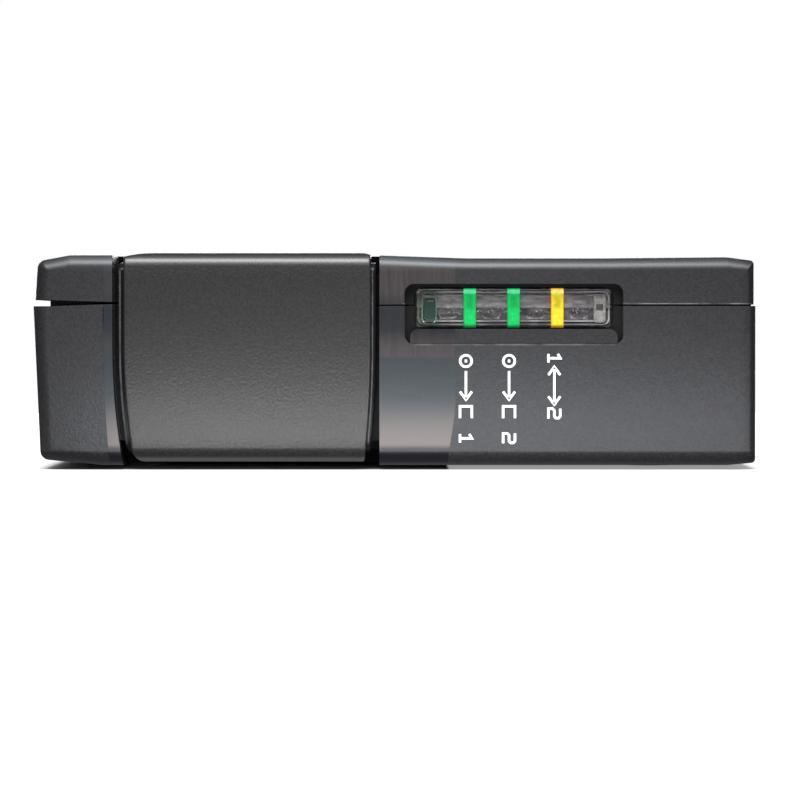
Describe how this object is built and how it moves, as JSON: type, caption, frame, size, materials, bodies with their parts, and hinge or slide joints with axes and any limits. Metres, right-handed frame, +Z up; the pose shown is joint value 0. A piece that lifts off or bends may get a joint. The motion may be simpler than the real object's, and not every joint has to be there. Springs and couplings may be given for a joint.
{
  "type": "audio switch box",
  "caption": "Flat two-shell audio source switch box with a wide press bar round its front waist, an indicator window and phono sockets at the rear.",
  "frame": {"origin": "centre of the bounding box at the table, under the feet", "axes": "+X to the right of someone facing the front, +Y from the front into the case, +Z up"},
  "size_m": [0.1039, 0.0868, 0.0311],
  "materials": {
    "case_black": "fine grain",
    "panel_black": "satin",
    "bar_black": "fine grain",
    "gloss_black": "polished",
    "foot_rubber": "matte",
    "screw_steel": "zinc plated",
    "spring_steel": "drawn wire",
    "bush_white": "acetal",
    "switch_grey": "moulded",
    "plunger_white": "moulded",
    "lens_clear": "polished, smoke tint",
    "light_green": "clear, lit green",
    "light_amber": "clear, lit amber",
    "shroud_black": "matte",
    "led_white": "moulded",
    "board_green": "solder mask",
    "relay_grey": "moulded",
    "chip_black": "moulded",
    "can_steel": "drawn",
    "can_sleeve": "shrink sleeve",
    "block_black": "moulded",
    "plated": "nickel plated",
    "insert_white": "moulded",
    "insert_red": "moulded",
    "contact_brass": "plated"
  },
  "bodies": {
    "housing": {"lower_shell": "case_black", "upper_shell": "case_black", "rubber_feet": "foot_rubber", "shell_screws": "screw_steel", "guide_bushes": "bush_white", "return_springs": "spring_steel", "switch_body": "switch_grey", "indicator_lens": "lens_clear", "light_bar_a": "light_green", "light_bar_b": "light_green", "light_bar_auto": "light_amber", "light_shroud": "shroud_black", "indicator_leds": "led_white", "front_board": "board_green", "main_board": "board_green", "board_screws": "screw_steel", "board_header": "panel_black", "signal_relays": "relay_grey", "control_chip": "chip_black", "clock_crystal": "can_steel", "filter_capacitors": "can_sleeve", "voltage_regulator": "chip_black", "rear_panel": "panel_black", "jack_block_a": "block_black", "jack_block_b": "block_black", "jack_block_out": "block_black", "jack_sleeves": "plated", "jack_inserts_left": "insert_white", "jack_inserts_right": "insert_red", "jack_contacts": "contact_brass", "power_jack": "block_black", "power_pin": "plated"},
    "bar": {"select_bar": "bar_black", "bar_carrier": "gloss_black", "bar_retainers": "screw_steel"},
    "plunger": {"switch_plunger": "plunger_white"}
  },
  "joints": [
    {"name": "bar_press", "type": "slide", "parent": "housing", "child": "bar", "axis": [0, 1, 0], "range_m": [0, 0.0008], "stiffness_N_per_m": 500, "springref_m": -0.004, "deforming": ["return_springs"]},
    {"name": "plunger_press", "type": "slide", "parent": "housing", "child": "plunger", "axis": [0, 1, 0], "range_m": [0, 0.0008], "stiffness_N_per_m": 150, "springref_m": -0.002}
  ],
  "couplings": [
    {"joint": "plunger_press", "follows": "bar_press", "ratio": 1}
  ]
}
